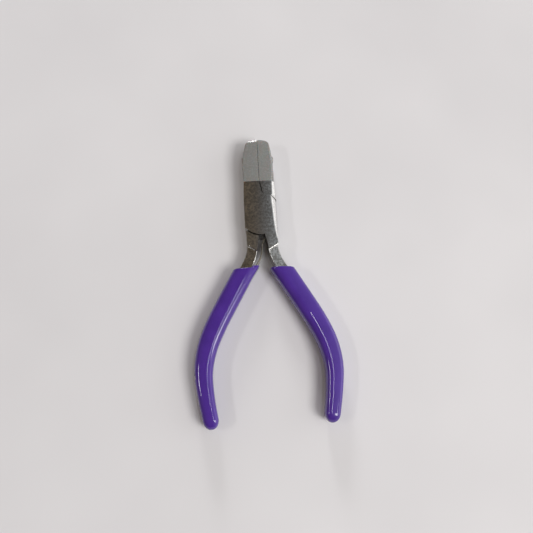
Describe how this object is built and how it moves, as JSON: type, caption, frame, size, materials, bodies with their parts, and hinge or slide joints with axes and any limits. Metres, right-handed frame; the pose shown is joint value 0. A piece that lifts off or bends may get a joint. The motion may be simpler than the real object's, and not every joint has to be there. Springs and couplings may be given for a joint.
{
  "type": "nylon jaw chain nose pliers",
  "caption": "Small lap joint chain nose pliers with nylon jaw covers, dipped grips and a leaf spring that opens the jaws; used for holding soft wire and jewellery parts.",
  "frame": {"origin": "on the pivot axis, in the plane of the flat back face, which is the rivet's ground rear end", "axes": "+Y from the pivot to the jaw tips, +X to the right handle seen from the front, +Z out of the front face along the pivot axis"},
  "size_m": [0.0522, 0.1045, 0.008],
  "materials": {
    "steel": "satin ground steel with fine speckle, polished bevels",
    "screw_steel": "plain turned steel",
    "spring_steel": "rolled spring strip, satin",
    "nylon": "moulded natural nylon, slightly translucent",
    "pvc": "glossy dipped vinyl, purple"
  },
  "bodies": {
    "rear_half": {"rear_lever": "steel", "grip_left": "pvc", "pivot_rivet": "steel", "leaf_spring": "spring_steel", "spring_rivet": "spring_steel", "nylon_jaw_right": "nylon", "jaw_screw_right": "screw_steel"},
    "front_half": {"front_lever": "steel", "grip_right": "pvc", "nylon_jaw_left": "nylon", "jaw_screw_left": "screw_steel"}
  },
  "joints": [
    {"name": "pivot", "type": "hinge", "parent": "rear_half", "child": "front_half", "pos_m": [0, 0, 0], "axis": [0, 0, 1], "range_deg": [0, 25], "stiffness_Nm_per_rad": 1.1, "springref_deg": 22.92, "deforming": ["leaf_spring"]}
  ]
}
